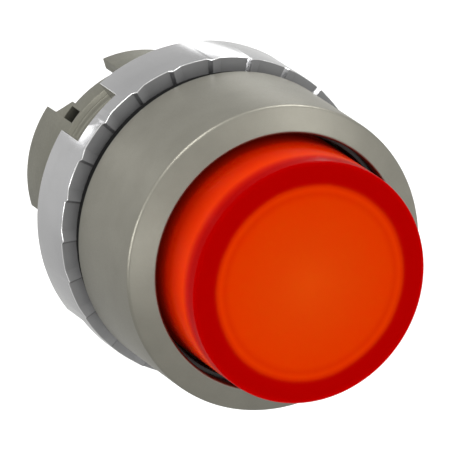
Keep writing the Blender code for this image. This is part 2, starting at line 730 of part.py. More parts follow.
make_bezel()
make_guide_bush()
make_wiper_seal()
make_seal_clamp_ring()
make_barrel()
make_bezel_seal()
make_panel_gasket()
make_rear_guide()
make_guide_circlip()
make_ring_nut()
make_lens_cap()
make_lens_seal()
make_diffuser()
make_reflector()
make_plunger()
make_plunger_seal()
make_spring_washer()
make_pusher_ring()
make_pusher_clip()
make_return_spring()
bpy.context.view_layer.update()
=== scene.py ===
"""Looks of the illuminated push button head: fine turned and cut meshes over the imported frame, with finishes.

Sections are drawn as (radius, depth) in millimetres. Depth runs along the button's axis: 0 is the panel's
front face, positive depths stand out of the panel towards the finger (world -Y), negative ones are behind it.
"""

import json
import math

import bmesh
import bpy
from mathutils import Matrix, Vector


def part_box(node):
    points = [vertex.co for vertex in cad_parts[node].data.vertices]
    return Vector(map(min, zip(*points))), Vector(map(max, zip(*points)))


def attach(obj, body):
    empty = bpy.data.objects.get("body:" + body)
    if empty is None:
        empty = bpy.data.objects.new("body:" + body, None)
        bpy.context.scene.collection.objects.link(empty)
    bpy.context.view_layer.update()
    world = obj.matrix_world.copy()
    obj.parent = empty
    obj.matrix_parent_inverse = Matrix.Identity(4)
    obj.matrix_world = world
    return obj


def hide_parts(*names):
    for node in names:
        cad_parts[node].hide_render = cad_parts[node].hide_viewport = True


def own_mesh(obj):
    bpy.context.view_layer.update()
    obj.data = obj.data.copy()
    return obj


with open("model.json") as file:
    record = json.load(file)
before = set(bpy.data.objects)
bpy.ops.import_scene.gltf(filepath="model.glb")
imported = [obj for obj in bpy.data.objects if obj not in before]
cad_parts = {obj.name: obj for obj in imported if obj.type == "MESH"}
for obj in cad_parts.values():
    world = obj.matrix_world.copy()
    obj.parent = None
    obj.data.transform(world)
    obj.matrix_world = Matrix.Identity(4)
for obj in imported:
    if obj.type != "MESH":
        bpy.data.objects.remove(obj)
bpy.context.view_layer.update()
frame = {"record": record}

MM = 0.001
GAP = 0.3  # clearance between pieces that touch on the real head
FULL_TURN = 360.0
WELD = 0.0005 * MM  # points nearer than this become one
OVERCUT = 1.0  # how far a cutter runs past the piece it cuts


# ---- sizes in millimetres, the outer ones read from the frame ----------------------------------------------


def outer(node):
    """Outer radius of a round CAD node."""
    low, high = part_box(node)
    return (high.x - low.x) / 2 / MM


def front(node):
    """Depth of a CAD node's front end."""
    return -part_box(node)[0].y / MM


def back(node):
    """Depth of a CAD node's back end."""
    return -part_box(node)[1].y / MM


LENS_R = outer("lens_cap")
LENS_FRONT = front("lens_cap")
LENS_BACK = back("lens_cap")
LENS_BORE_R = 9.6
LENS_FRONT_T = 2.3
LENS_EDGE_R = 0.35

BEZEL_R = outer("bezel")
BEZEL_FRONT = front("bezel")
BEZEL_BACK = back("bezel")
BEZEL_RIM_R = 0.5
BEZEL_SLOPE = math.radians(30)
MOUTH_GAP = 0.7
MOUTH_R = LENS_R + MOUTH_GAP
MOUTH_LIP = 1.8
INSIDE_R = outer("guide_bush")
BUSH_CLEARANCE = 0.35
BUSH_R = LENS_R + BUSH_CLEARANCE
WIPER_LIP = 0.45
CLAMP_CLEARANCE = 0.45
BEZEL_SEAL_CORD_R = 0.45

THREAD_R = 11.0
THREAD_DEPTH = 0.35
THREAD_PITCH = 1.0
THREAD_FRONT = -0.35
THREAD_ROOT_SHARE = 0.18  # of half a pitch
THREAD_FLANK_SHARE = 0.62
THREAD_EASE = 0.35  # 0 leaves the flanks straight, 1 makes them fully rounded
BORE_R = 9.6
SHOULDER_R = 9.2
REAR_BORE_R = 9.9
LUG_END = back("barrel")
LUG_LENGTH = 4.2
BARREL_RIM = LUG_END + LUG_LENGTH
PLAIN_END = 2.45
THREAD_END = BARREL_RIM + PLAIN_END
FLANGE_FRONT = front("barrel")
LUG_COUNT = 4
LUG_HALF_ANGLE = 26.4
LUG_EDGE_R = 0.07
HOOK_ANGLE = 9.0
HOOK_ROOT = 2.1
HOOK_TIP = 0.65
POCKET_LENGTH = 1.8
POCKET_OVERLAP = 0.1
POCKET_WEB_ANGLE = 2.0
CIRCLIP_GROOVE = 0.4
CIRCLIP_REACH = 1.0
CIRCLIP_SPLIT_ANGLE = 26.0

NUT_R = 15.55
NUT_BORE_R = THREAD_R + GAP
NUT_FRONT = front("ring_nut")
NUT_BACK = back("ring_nut")
NUT_TURN = 11.5
NUT_TEETH = 24
TOOTH_HEIGHT = 0.43
TOOTH_FLAT_ANGLE = 11.0
TOOTH_CREST_ANGLE = 14.6
TOOTH_PITCH = FULL_TURN / NUT_TEETH
NUT_SLOTS = 4
NUT_SLOT_HALF_ANGLE = 10.4
NUT_SLOT_DEPTH = 4.0
NUT_EDGE_R = 0.16

GASKET_R = outer("panel_gasket")
GASKET_CLEARANCE = 0.05  # the rubber is drawn nearly closed up against the bezel
GASKET_BULGE = 0.12

HEAD_R = outer("plunger")
HEAD_FRONT = front("plunger")
HEAD_DEPTH = 2.4
HEAD_BACK = FLANGE_FRONT - HEAD_DEPTH
HEAD_RIM_W = 1.2
HEAD_RELIEF = 0.05
PLUNGER_END = back("plunger")
TUBE_R = 7.0
SPIGOT_R = 6.2
CORE_R = 5.0
RIB_W = 2.0
RIB_H = 0.4
RIB_ANGLES = (90, 270)
RIB_FRONT = -5.0
LENS_SEAL_CORD_R = 0.35
PLUNGER_SEAL_CORD_R = 0.40
CLIP_GROOVE = 0.4
CLIP_BITE = 0.1
CLIP_SPLIT_ANGLE = 70.0

DIFFUSER_EDGE_R = 0.9
DIFFUSER_WALL = 1.0
REFLECTOR_WALL = 0.6

PUSHER_T = 1.3
PUSHER_LEG_INSET = 0.1
PUSHER_LEG_WALL = 0.8
PUSHER_LEG_HALF_ANGLE = 24.0

SPRING_MEAN_R = 8.2
SPRING_WIRE_R = 0.4
SPRING_TURNS = 6
SPRING_DEAD_TURNS = 0.75  # turns that lie flat at each end
SPRING_DEAD_ROOM = 1.02  # a flat turn's rise, as a share of the wire's thickness
TRAVEL = 5.0

STEPS = 192  # columns round a turned piece
SMOOTH_ANGLE = math.radians(32)
NUT_SMOOTH_ANGLE = math.radians(15)
BROKEN_ANGLE = math.radians(50)  # edges sharper than this are rounded by break_edges


# ---- mesh helpers ------------------------------------------------------------------------------------------


def place(radius, degrees, depth):
    """A point of the row frame in metres from radius and depth in millimetres."""
    angle = math.radians(degrees)
    return Vector((radius * math.cos(angle), -depth, radius * math.sin(angle))) * MM


def rounded(corners, closed=True, segments=4):
    """Points of an outline of (radius, depth, fillet) corners, each fillet an arc between two sides."""
    points = []
    count = len(corners)
    for i, corner in enumerate(corners):
        here = Vector(corner[:2])
        fillet = corner[2] if len(corner) > 2 else 0.0
        at_end = not closed and i in (0, count - 1)
        if fillet <= 0 or at_end:
            points.append(tuple(here))
            continue
        to_last = (Vector(corners[i - 1][:2]) - here).normalized()
        to_next = (Vector(corners[(i + 1) % count][:2]) - here).normalized()
        half = to_last.angle(to_next) / 2
        reach = fillet / math.tan(half)
        centre = here + (to_last + to_next).normalized() * fillet / math.sin(half)
        start = here + to_last * reach - centre
        sweep = start.angle_signed(here + to_next * reach - centre)
        for j in range(segments + 1):
            turn = Matrix.Rotation(-sweep * j / segments, 2)
            points.append(tuple(centre + turn @ start))
    return points


def grid_mesh(columns, closed_profile, caps=False):
    """A bmesh of columns of points, neighbours joined by quads and coincident points welded."""
    mesh = bmesh.new()
    made = [[mesh.verts.new(point) for point in column] for column in columns]
    rows = len(columns[0])
    last_row = rows if closed_profile else rows - 1
    for left, right in zip(made, made[1:]):
        for i in range(last_row):
            j = (i + 1) % rows
            mesh.faces.new((left[i], left[j], right[j], right[i]))
    if caps:
        mesh.faces.new(made[0])
        mesh.faces.new(list(reversed(made[-1])))
    bmesh.ops.remove_doubles(mesh, verts=mesh.verts, dist=WELD)
    bmesh.ops.dissolve_degenerate(mesh, edges=mesh.edges, dist=WELD)
    bmesh.ops.recalc_face_normals(mesh, faces=mesh.faces)
    return mesh


def lathe(points, closed=True, start=0.0, sweep=FULL_TURN, steps=STEPS):
    """Turns (radius, depth) points round the axis. A sweep under a full turn gets end caps."""
    whole = sweep >= FULL_TURN
    count = max(2, round(steps * sweep / FULL_TURN))
    columns = []
    for i in range(count + 1):
        degrees = start + sweep * i / count
        columns.append([place(radius, degrees, depth) for radius, depth in points])
    return grid_mesh(columns, closed, caps=not whole)


def ring(outer_r, inner_r, front_depth, back_depth, fillet, **turn):
    """A flat ring with rounded corners, or a part of one."""
    corners = [
        (outer_r, front_depth, fillet),
        (outer_r, back_depth, fillet),
        (inner_r, back_depth, fillet),
        (inner_r, front_depth, fillet),
    ]
    return lathe(rounded(corners), **turn)


def cord(centre_r, depth, cord_r):
    """An O-ring."""
    sides = 16
    turns = [2 * math.pi * i / sides for i in range(sides)]
    return lathe([(centre_r + cord_r * math.sin(t), depth + cord_r * math.cos(t)) for t in turns])


def sector(mesh, outline, inner_r, outer_r):
    """Adds a solid between two radii whose sides follow an outline of (degrees, depth) points."""
    inner = [mesh.verts.new(place(inner_r, *point)) for point in outline]
    outer_side = [mesh.verts.new(place(outer_r, *point)) for point in outline]
    mesh.faces.new(inner)
    mesh.faces.new(list(reversed(outer_side)))
    for i in range(len(outline)):
        j = (i + 1) % len(outline)
        mesh.faces.new((inner[j], inner[i], outer_side[i], outer_side[j]))


def sectors(outlines, inner_r, outer_r):
    mesh = bmesh.new()
    for outline in outlines:
        sector(mesh, outline, inner_r, outer_r)
    bmesh.ops.recalc_face_normals(mesh, faces=mesh.faces)
    return mesh


def block(start, end, front_depth, back_depth):
    """A rectangular outline for a sector, between two angles and two depths."""
    return [(start, front_depth), (start, back_depth), (end, back_depth), (end, front_depth)]


def groove(wall_r, floor_r, first_depth, last_depth):
    """The four corners of a square groove, in the order that its profile meets them."""
    fillet = 0.05
    return [
        (wall_r, first_depth, fillet),
        (floor_r, first_depth, fillet),
        (floor_r, last_depth, fillet),
        (wall_r, last_depth, fillet),
    ]


def to_object(name, mesh):
    data = bpy.data.meshes.new(name)
    mesh.to_mesh(data)
    mesh.free()
    obj = bpy.data.objects.new(name, data)
    bpy.context.scene.collection.objects.link(obj)
    return obj


def combined(mesh, cutter, operation="DIFFERENCE"):
    """The bmesh that an exact Boolean of the two leaves."""
    body = to_object("body", mesh)
    tool = to_object("tool", cutter)
    modifier = body.modifiers.new("Boolean", "BOOLEAN")
    modifier.operation = operation
    modifier.solver = "EXACT"
    modifier.object = tool
    depsgraph = bpy.context.evaluated_depsgraph_get()
    result = bmesh.new()
    result.from_object(body, depsgraph)
    for obj in (body, tool):
        data = obj.data
        bpy.data.objects.remove(obj)
        bpy.data.meshes.remove(data)
    bmesh.ops.remove_doubles(result, verts=result.verts, dist=WELD)
    return result


def break_edges(mesh, width, behind, segments=2):
    """Rounds the sharp edges that lie behind a depth."""
    chosen = []
    for edge in mesh.edges:
        inside = max(-vert.co.y / MM for vert in edge.verts) < behind
        if inside and len(edge.link_faces) == 2 and edge.calc_face_angle(0.0) > BROKEN_ANGLE:
            chosen.append(edge)
    bmesh.ops.bevel(mesh, geom=chosen, offset=width * MM, segments=segments, profile=0.5,
                    affect="EDGES", clamp_overlap=True, miter_outer="ARC")


def finish_piece(node, mesh, body):
    """Makes a bmesh the visible piece for a CAD node, smooth but for its real edges."""
    obj = to_object(node + "_piece", mesh)
    obj.data.shade_smooth()
    obj.data.set_sharp_from_angle(angle=SMOOTH_ANGLE)
    obj.data.materials.append(MATERIALS[SLOTS[node]])
    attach(obj, body)
    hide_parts(node)
    return obj


SLOTS = {entry["node"]: entry["material_slot"] for entry in frame["record"]["subparts"]}


# ---- material helpers --------------------------------------------------------------------------------------


def new_material(name, metallic=0.0, specular=0.5, ior=1.5):
    material = bpy.data.materials.new(name)
    material.use_nodes = True
    shader = material.node_tree.nodes["Principled BSDF"]
    shader.inputs["Metallic"].default_value = metallic
    shader.inputs["Specular IOR Level"].default_value = specular
    shader.inputs["IOR"].default_value = ior
    return material, material.node_tree, shader


def link(tree, source, target):
    tree.links.new(source, target)


def object_coordinates(tree):
    """Object coordinates in millimetres."""
    coordinates = tree.nodes.new("ShaderNodeTexCoord")
    mapping = tree.nodes.new("ShaderNodeMapping")
    mapping.inputs["Scale"].default_value = [1 / MM] * 3
    link(tree, coordinates.outputs["Object"], mapping.inputs["Vector"])
    return mapping.outputs["Vector"]


def noise(tree, vector, scale, detail=4.0, roughness=0.55):
    node = tree.nodes.new("ShaderNodeTexNoise")
    node.inputs["Scale"].default_value = scale
    node.inputs["Detail"].default_value = detail
    node.inputs["Roughness"].default_value = roughness
    link(tree, vector, node.inputs["Vector"])
    return node.outputs["Fac"]


def remap(tree, value, low, high, from_low=0.3, from_high=0.7):
    node = tree.nodes.new("ShaderNodeMapRange")
    node.inputs["From Min"].default_value = from_low
    node.inputs["From Max"].default_value = from_high
    node.inputs["To Min"].default_value = low
    node.inputs["To Max"].default_value = high
    link(tree, value, node.inputs["Value"])
    return node.outputs["Result"]


def math_node(tree, operation, first, second=None):
    node = tree.nodes.new("ShaderNodeMath")
    node.operation = operation
    for socket, value in zip(node.inputs, (first, second)):
        if value is None:
            continue
        if isinstance(value, (int, float)):
            socket.default_value = value
        else:
            link(tree, value, socket)
    return node.outputs[0]


def ramp(tree, value, stops):
    node = tree.nodes.new("ShaderNodeValToRGB")
    elements = node.color_ramp.elements
    while len(elements) < len(stops):
        elements.new(0.5)
    for element, (position, color) in zip(elements, stops):
        element.position = position
        element.color = (*color, 1.0)
    link(tree, value, node.inputs["Fac"])
    return node.outputs["Color"]


def mix(tree, factor, first, second):
    node = tree.nodes.new("ShaderNodeMix")
    node.data_type = "RGBA"
    link(tree, factor, node.inputs["Factor"])
    link(tree, first, node.inputs[6])
    link(tree, second, node.inputs[7])
    return node.outputs[2]


def bump(tree, shader, heights):
    """Chains (height, depth in millimetres) bumps into the shader's normal."""
    normal = None
    for height, distance in heights:
        node = tree.nodes.new("ShaderNodeBump")
        node.inputs["Distance"].default_value = distance * MM
        link(tree, height, node.inputs["Height"])
        if normal:
            link(tree, normal, node.inputs["Normal"])
        normal = node.outputs["Normal"]
    link(tree, normal, shader.inputs["Normal"])


def shade(color, factor):
    return tuple(min(1.0, channel * factor) for channel in color)


def axis_coordinates(tree, coordinates):
    """The distance from the button's axis and the place along it, world +Y positive."""
    split = tree.nodes.new("ShaderNodeSeparateXYZ")
    link(tree, coordinates, split.inputs["Vector"])
    across = math_node(tree, "POWER", split.outputs["X"], 2)
    up = math_node(tree, "POWER", split.outputs["Z"], 2)
    return math_node(tree, "SQRT", math_node(tree, "ADD", across, up)), split.outputs["Y"]


def cloudy_color(tree, shader, coordinates, color, spread, scale):
    """A base colour that drifts a little darker and lighter in clouds."""
    clouds = noise(tree, coordinates, scale, detail=5.0)
    stops = [(0.3, shade(color, 1 - spread)), (0.5, color), (0.7, shade(color, 1 + spread))]
    link(tree, ramp(tree, clouds, stops), shader.inputs["Base Color"])


def textured(name, color, roughness, spread, grain, grain_depth, metallic=0.0, specular=0.5):
    """Base of most finishes: cloudy tone, speckled roughness and a fine grain, all from object space."""
    material, tree, shader = new_material(name, metallic, specular)
    coordinates = object_coordinates(tree)
    fine = noise(tree, coordinates, grain, detail=3.0)
    cloudy_color(tree, shader, coordinates, color, spread, scale=0.35)
    link(tree, remap(tree, fine, roughness * 0.88, roughness * 1.12), shader.inputs["Roughness"])
    bump(tree, shader, [(fine, grain_depth)])
    return material


def lens_material():
    """Clear red moulding over a pale insert: orange where the insert shows, deep red where only plastic is.

    The face is coloured by distance from the axis and the side by depth. A slow noise bends both a little.
    The side's colour also holds painted shade towards the bezel's mouth and a painted highlight band behind the
    front edge, and a dull red emission paints light onto the skirt inside the mouth.
    """
    material, tree, shader = new_material("red_lens", specular=0.012, ior=1.58)
    shader.inputs["Specular Tint"].default_value = (1.0, 0.10, 0.02, 1.0)
    coordinates = object_coordinates(tree)
    radius, along = axis_coordinates(tree, coordinates)
    depth = math_node(tree, "MULTIPLY", along, -1)
    wave = noise(tree, coordinates, 0.16, detail=2.0)
    drift = remap(tree, wave, -0.06, 0.06)
    face = remap(tree, math_node(tree, "ADD", radius, drift), 0.0, 1.0, 0.0, LENS_R)
    face_color = ramp(tree, face, [
        (0.00, (0.650, 0.060, 0.002)),
        (0.30, (0.628, 0.047, 0.001)),
        (0.69, (0.625, 0.035, 0.000)),
        (0.735, (0.590, 0.025, 0.000)),
        (0.775, (0.635, 0.034, 0.000)),
        (0.80, (0.560, 0.020, 0.000)),
        (0.82, (0.420, 0.004, 0.000)),
        (0.84, (0.385, 0.000, 0.000)),
        (1.00, (0.370, 0.000, 0.000)),
    ])
    side = remap(tree, math_node(tree, "ADD", depth, drift), 0.0, 1.0, BEZEL_FRONT - 2.0, LENS_FRONT)
    # the side's own orange and deep red, darkened towards the bezel's mouth as painted shade, with a painted
    # highlight band just behind the front edge
    side_tone_with_painted_light = ramp(tree, side, [
        (0.00, (0.090, 0.001, 0.000)),
        (0.22, (0.210, 0.003, 0.000)),
        (0.44, (0.420, 0.012, 0.000)),
        (0.58, (0.530, 0.018, 0.000)),
        (0.70, (0.600, 0.026, 0.000)),
        (0.80, (0.420, 0.004, 0.000)),
        (0.88, (0.310, 0.000, 0.000)),
        (1.00, (0.320, 0.000, 0.000)),
    ])
    edge = remap(tree, radius, 0.0, 1.0, LENS_R - LENS_EDGE_R, LENS_R - 0.02)
    link(tree, mix(tree, edge, face_color, side_tone_with_painted_light), shader.inputs["Base Color"])
    # painted light: a dull red emission on the skirt inside the bezel's mouth, lighting it where the bezel
    # shades it
    painted_glow_share = remap(tree, depth, 0.0, 1.0, BEZEL_FRONT - 2.5, BEZEL_FRONT + 1.0)
    painted_glow_color = ramp(tree, painted_glow_share, [
        (0.0, (0.03, 0.0005, 0.0)),
        (0.6, (0.09, 0.002, 0.0)),
        (1.0, (0.0, 0.0, 0.0)),
    ])
    link(tree, painted_glow_color, shader.inputs["Emission Color"])
    shader.inputs["Emission Strength"].default_value = 1.0
    shader.inputs["Subsurface Weight"].default_value = 0.7
    shader.inputs["Subsurface Radius"].default_value = (1.0, 0.10, 0.02)
    shader.inputs["Subsurface Scale"].default_value = 1.5 * MM
    fine = noise(tree, coordinates, 1.4, detail=2.0)
    link(tree, remap(tree, fine, 0.14, 0.20), shader.inputs["Roughness"])
    bump(tree, shader, [(fine, 0.004)])
    return material


def turned_metal(name, color, roughness, spread, line_depth, metallic=1.0):
    """Machined metal: fine lines round the axis and a cloudy tone."""
    material, tree, shader = new_material(name, metallic)
    coordinates = object_coordinates(tree)
    radius, along = axis_coordinates(tree, coordinates)
    section = tree.nodes.new("ShaderNodeCombineXYZ")
    link(tree, radius, section.inputs["X"])
    link(tree, along, section.inputs["Y"])
    lines = noise(tree, section.outputs["Vector"], 6.0, detail=3.0, roughness=0.7)
    cloudy_color(tree, shader, coordinates, color, spread, scale=0.25)
    link(tree, remap(tree, lines, roughness * 0.8, roughness * 1.2), shader.inputs["Roughness"])
    bump(tree, shader, [(lines, line_depth), (noise(tree, coordinates, 5.0), 0.002)])
    return material


# ---- finishes ----------------------------------------------------------------------------------------------

# textured: colour, roughness, spread of tone, grain per mm, grain's depth in mm
# turned_metal: colour, roughness, spread of tone, depth of the lines in mm
MATERIALS = {
    "satin_metal": textured("satin_metal", (0.285, 0.275, 0.235), 0.42, 0.05, 9.0, 0.004, metallic=1.0),
    "cast_metal": textured("cast_metal", (0.215, 0.21, 0.175), 0.48, 0.09, 5.0, 0.012, metallic=0.9),
    "bright_metal": turned_metal("bright_metal", (0.50, 0.50, 0.51), 0.15, 0.04, 0.002),
    "zinc_plate": textured("zinc_plate", (0.55, 0.56, 0.58), 0.38, 0.08, 6.0, 0.003, metallic=1.0),
    "spring_steel": textured("spring_steel", (0.42, 0.42, 0.44), 0.28, 0.08, 12.0, 0.003, metallic=1.0),
    "black_rubber": textured("black_rubber", (0.006, 0.006, 0.006), 0.78, 0.25, 7.0, 0.010, specular=0.12),
    "gloss_rubber": textured("gloss_rubber", (0.016, 0.015, 0.015), 0.24, 0.20, 6.0, 0.004),
    "gloss_black": textured("gloss_black", (0.020, 0.018, 0.018), 0.16, 0.15, 2.0, 0.003),
    "black_plastic": textured("black_plastic", (0.030, 0.030, 0.032), 0.45, 0.15, 6.0, 0.008),
    "white_plastic": textured("white_plastic", (0.78, 0.78, 0.75), 0.42, 0.03, 5.0, 0.006),
    "milky_plastic": textured("milky_plastic", (0.85, 0.80, 0.72), 0.50, 0.03, 4.0, 0.005),
    "red_lens": lens_material(),
}

# the nut's cut teeth are duller than its outside, and its rounded edges get a paler, glossier metal: a painted
# highlight along them
FACED_METAL = turned_metal("faced_metal", (0.25, 0.25, 0.253), 0.45, 0.06, 0.003, metallic=0.25)
EDGE_HIGHLIGHT_METAL = turned_metal("painted_edge_highlight", (0.80, 0.80, 0.80), 0.22, 0.02, 0.001)


# ---- bezel and what it holds -------------------------------------------------------------------------------


def make_bezel():
    slope_drop = (BEZEL_R - MOUTH_R) * math.tan(BEZEL_SLOPE)
    corners = [
        (MOUTH_R, BEZEL_FRONT, 0.22),
        (BEZEL_R, BEZEL_FRONT - slope_drop, BEZEL_RIM_R),
        (BEZEL_R, BEZEL_BACK, 0.2),
        (INSIDE_R + GAP, BEZEL_BACK, 0.12),
        (INSIDE_R + GAP, BEZEL_FRONT - MOUTH_LIP, 0.1),
        (MOUTH_R, BEZEL_FRONT - MOUTH_LIP, 0.1),
    ]
    mesh = lathe(rounded(corners, segments=8), steps=2 * STEPS)
    return finish_piece("bezel", mesh, "housing")


def make_guide_bush():
    front_depth = front("guide_bush")
    corners = [
        (INSIDE_R, front_depth, 0.15),
        (INSIDE_R, back("guide_bush"), 0.1),
        (BUSH_R, back("guide_bush"), 0.1),
        (BUSH_R, front_depth, 0.35),
    ]
    return finish_piece("guide_bush", lathe(rounded(corners, segments=6)), "housing")


def make_wiper_seal():
    front_depth = front("wiper_seal")
    corners = [
        (INSIDE_R, front_depth, 0.1),
        (INSIDE_R, back("wiper_seal"), 0.1),
        (BUSH_R, back("wiper_seal"), 0.1),
        (BUSH_R, front_depth - 2 * WIPER_LIP, 0.1),
        (LENS_R + GAP, front_depth - WIPER_LIP, 0.1),
        (LENS_R + GAP, front_depth, 0.1),
    ]
    return finish_piece("wiper_seal", lathe(rounded(corners)), "housing")


def make_housing_rings():
    squeezed_front = BEZEL_BACK - GASKET_CLEARANCE
    gasket = ring(GASKET_R + GASKET_BULGE, THREAD_R + GAP, squeezed_front, 0.0, 0.06)
    finish_piece("panel_gasket", gasket, "housing")
    clamp_bore_r = LENS_R + CLAMP_CLEARANCE
    clamp = ring(INSIDE_R, clamp_bore_r, front("seal_clamp_ring"), back("seal_clamp_ring"), 0.12)
    finish_piece("seal_clamp_ring", clamp, "housing")
    seal_depth = (front("bezel_seal") + back("bezel_seal")) / 2
    seal = cord(INSIDE_R - BEZEL_SEAL_CORD_R, seal_depth, BEZEL_SEAL_CORD_R)
    finish_piece("bezel_seal", seal, "housing")


# ---- barrel ------------------------------------------------------------------------------------------------


def thread_height(turns):
    """Height of the thread's section, 0 at its root and 1 at its crest, over one pitch."""
    across = abs(2 * (turns % 1.0) - 1)
    rise = min(1.0, max(0.0, (across - THREAD_ROOT_SHARE) / THREAD_FLANK_SHARE))
    eased = rise * rise * (3 - 2 * rise)
    return eased * THREAD_EASE + rise * (1 - THREAD_EASE)


def thread_point(row, per_pitch, degrees):
    """(radius, depth) on a helix row, fading out at both ends of the thread."""
    turns = row / per_pitch
    depth = THREAD_FRONT + THREAD_PITCH * (1 - turns - degrees / FULL_TURN)
    depth = min(THREAD_FRONT, max(THREAD_END, depth))
    fade = min(THREAD_FRONT - depth, depth - THREAD_END) / (0.8 * THREAD_PITCH)
    fade = min(1.0, max(0.0, fade))
    return THREAD_R - THREAD_DEPTH + THREAD_DEPTH * fade * thread_height(turns), depth


def barrel_columns():
    """The barrel's section at each angle: the front's outline, the thread's rows, then the back's outline."""
    root_r = THREAD_R - THREAD_DEPTH
    groove_front = front("guide_circlip") + GAP
    groove_back = back("guide_circlip") - GAP
    guide_seat = front("rear_guide") + GAP
    seal_front = front("bezel_seal") + GAP
    seal_back = back("bezel_seal") - GAP
    seal_floor = INSIDE_R - 2 * BEZEL_SEAL_CORD_R - GAP
    head_bore_end = back("spring_washer") - TRAVEL - 2 * GAP
    lead = rounded([
        (BORE_R, FLANGE_FRONT, 0.12),
        (INSIDE_R, FLANGE_FRONT, 0.15),
        *groove(INSIDE_R, seal_floor, seal_front, seal_back),
        (INSIDE_R, BEZEL_BACK, 0.15),
        (root_r, BEZEL_BACK, 0.1),
        (root_r, THREAD_FRONT),
    ], closed=False, segments=3)[1:]  # the tail ends where this starts
    tail = rounded([
        (root_r, THREAD_END),
        (THREAD_R, THREAD_END - THREAD_DEPTH, 0.1),
        (THREAD_R, LUG_END, 0.15),
        (REAR_BORE_R, LUG_END, 0.15),
        *groove(REAR_BORE_R, REAR_BORE_R + CIRCLIP_GROOVE, groove_back, groove_front),
        (REAR_BORE_R, guide_seat, 0.05),
        (SHOULDER_R, guide_seat, 0.1),
        (SHOULDER_R, head_bore_end, 0.1),
        (BORE_R, head_bore_end, 0.1),
        (BORE_R, FLANGE_FRONT),
    ], closed=False, segments=3)
    per_pitch = 12
    pitches = (THREAD_FRONT - THREAD_END) / THREAD_PITCH
    rows = range(1, int((pitches + 2) * per_pitch))
    columns = []
    for i in range(STEPS + 1):
        degrees = FULL_TURN * i / STEPS
        line = lead + [thread_point(row, per_pitch, degrees) for row in rows] + tail
        columns.append([place(radius, degrees, depth) for radius, depth in line])
    return columns


def lug_cutters():
    """The spaces between the lugs, less their ramped hooks, and the pockets under the hooks."""
    pitch = FULL_TURN / LUG_COUNT
    past_end = LUG_END - OVERCUT
    gaps = []
    pockets = []
    for i in range(LUG_COUNT):
        start = i * pitch + LUG_HALF_ANGLE
        end = (i + 1) * pitch - LUG_HALF_ANGLE
        gaps.append([
            (start, BARREL_RIM),
            (start, past_end),
            (end, past_end),
            (end, BARREL_RIM - HOOK_ROOT),
            (end - HOOK_ANGLE, BARREL_RIM - HOOK_TIP),
            (end - HOOK_ANGLE, BARREL_RIM),
        ])
        pocket_start = end - HOOK_ANGLE + POCKET_WEB_ANGLE
        pockets.append(block(pocket_start, end, BARREL_RIM + POCKET_LENGTH, BARREL_RIM - POCKET_OVERLAP))
    return gaps, pockets


def make_barrel():
    mesh = grid_mesh(barrel_columns(), closed_profile=True)
    gaps, pockets = lug_cutters()
    inner_r = REAR_BORE_R - OVERCUT
    outer_r = THREAD_R + 1.5 * OVERCUT
    mesh = combined(mesh, sectors(gaps, inner_r, outer_r))
    mesh = combined(mesh, sectors(pockets, inner_r, outer_r))
    break_edges(mesh, LUG_EDGE_R, behind=THREAD_END - THREAD_DEPTH)
    return finish_piece("barrel", mesh, "housing")


def make_rear_guide():
    mesh = ring(outer("rear_guide"), TUBE_R + GAP, front("rear_guide"), back("rear_guide"), 0.12)
    half = math.degrees((RIB_W / 2 + GAP) / TUBE_R)
    ways = [block(centre - half, centre + half, front("rear_guide") + OVERCUT, back("rear_guide") - OVERCUT)
            for centre in RIB_ANGLES]
    mesh = combined(mesh, sectors(ways, TUBE_R - OVERCUT, TUBE_R + RIB_H + GAP))
    return finish_piece("rear_guide", mesh, "housing")


def split_ring(node, inner_r, split, body):
    """A flat ring with its opening at the bottom."""
    start = 270 + split / 2
    mesh = ring(outer(node), inner_r, front(node), back(node), 0.08, start=start, sweep=FULL_TURN - split)
    return finish_piece(node, mesh, body)


# ---- ring nut ----------------------------------------------------------------------------------------------


def tooth_stations():
    """(degrees into a tooth's pitch, height from 0 to 1) where the tooth's section turns."""
    parts = 5
    rise = TOOTH_CREST_ANGLE - TOOTH_FLAT_ANGLE
    flat = [(TOOTH_FLAT_ANGLE * i / parts, 0.0) for i in range(1, parts + 1)]
    ramp_points = [(TOOTH_FLAT_ANGLE + rise * i / parts, i / parts) for i in range(1, parts)]
    crest = [(TOOTH_CREST_ANGLE - 0.12, 0.98), (TOOTH_CREST_ANGLE + 0.1, 1.0), (TOOTH_PITCH - 0.25, 1.0)]
    drop = [(TOOTH_PITCH - 0.15, 0.96), (TOOTH_PITCH - 0.07, 0.85), (TOOTH_PITCH + 0.95, 0.0)]
    return flat + ramp_points + crest + drop


def nut_blank():
    """The nut before its slots are cut: its section at each station of each tooth."""
    base = NUT_FRONT - TOOTH_HEIGHT
    columns = []
    stations = [(tooth * TOOTH_PITCH + degrees, height) for tooth in range(NUT_TEETH)
                for degrees, height in tooth_stations()]
    stations.append((stations[0][0] + FULL_TURN, stations[0][1]))
    for degrees, height in stations:
        face = base + TOOTH_HEIGHT * height
        line = rounded([
            (NUT_BORE_R, face, 0.12),
            (NUT_R, face, 0.10),
            (NUT_R, NUT_BACK, NUT_EDGE_R),
            (NUT_BORE_R, NUT_BACK, NUT_EDGE_R),
        ], segments=8)
        columns.append([place(radius, NUT_TURN + degrees, depth) for radius, depth in line])
    return grid_mesh(columns, closed_profile=True)


